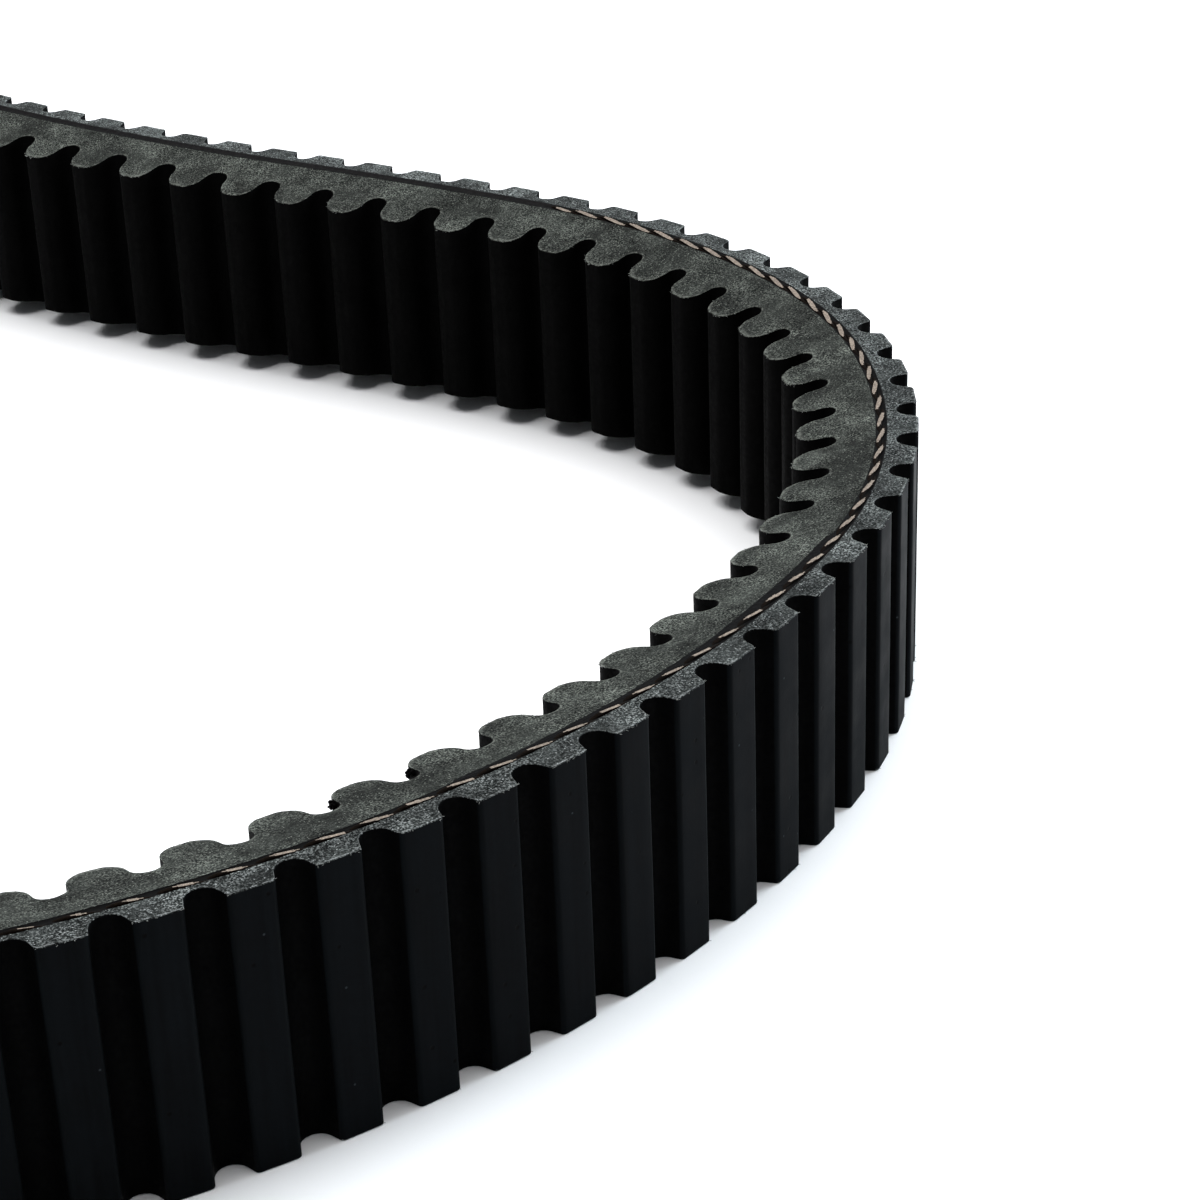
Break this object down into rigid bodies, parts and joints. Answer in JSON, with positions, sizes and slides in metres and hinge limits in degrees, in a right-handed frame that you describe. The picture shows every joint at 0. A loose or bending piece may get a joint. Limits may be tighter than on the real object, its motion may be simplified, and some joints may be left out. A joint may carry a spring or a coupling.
{
  "type": "variable speed drive belt",
  "caption": "Double-cogged raw-edge variable-speed V drive belt standing on its side as a free loop: cogged rubber on both faces, gum layers and a helically wound tensile cord.",
  "frame": {"origin": "middle of the loop's extent in plan, on the plane of the side it rests on", "axes": "+Z parallel to the pulley shafts, from the resting side to the upper side; +Y along the loop's longest extent; +X across the loop"},
  "size_m": [0.3526, 0.4176, 0.036],
  "materials": {
    "overcord_rubber": "matt cut flank with fibre specks, satin cog tops",
    "upper_gum": "smooth satin",
    "cord_fibre": "twisted polyester or aramid fibre",
    "lower_gum": "smooth satin",
    "undercord_rubber": "matt cut flank with fibre specks, dark cogs"
  },
  "bodies": {
    "root": {"overcord": "overcord_rubber", "gum_upper": "upper_gum", "tensile_cord": "cord_fibre", "gum_lower": "lower_gum", "undercord": "undercord_rubber"}
  },
  "joints": []
}
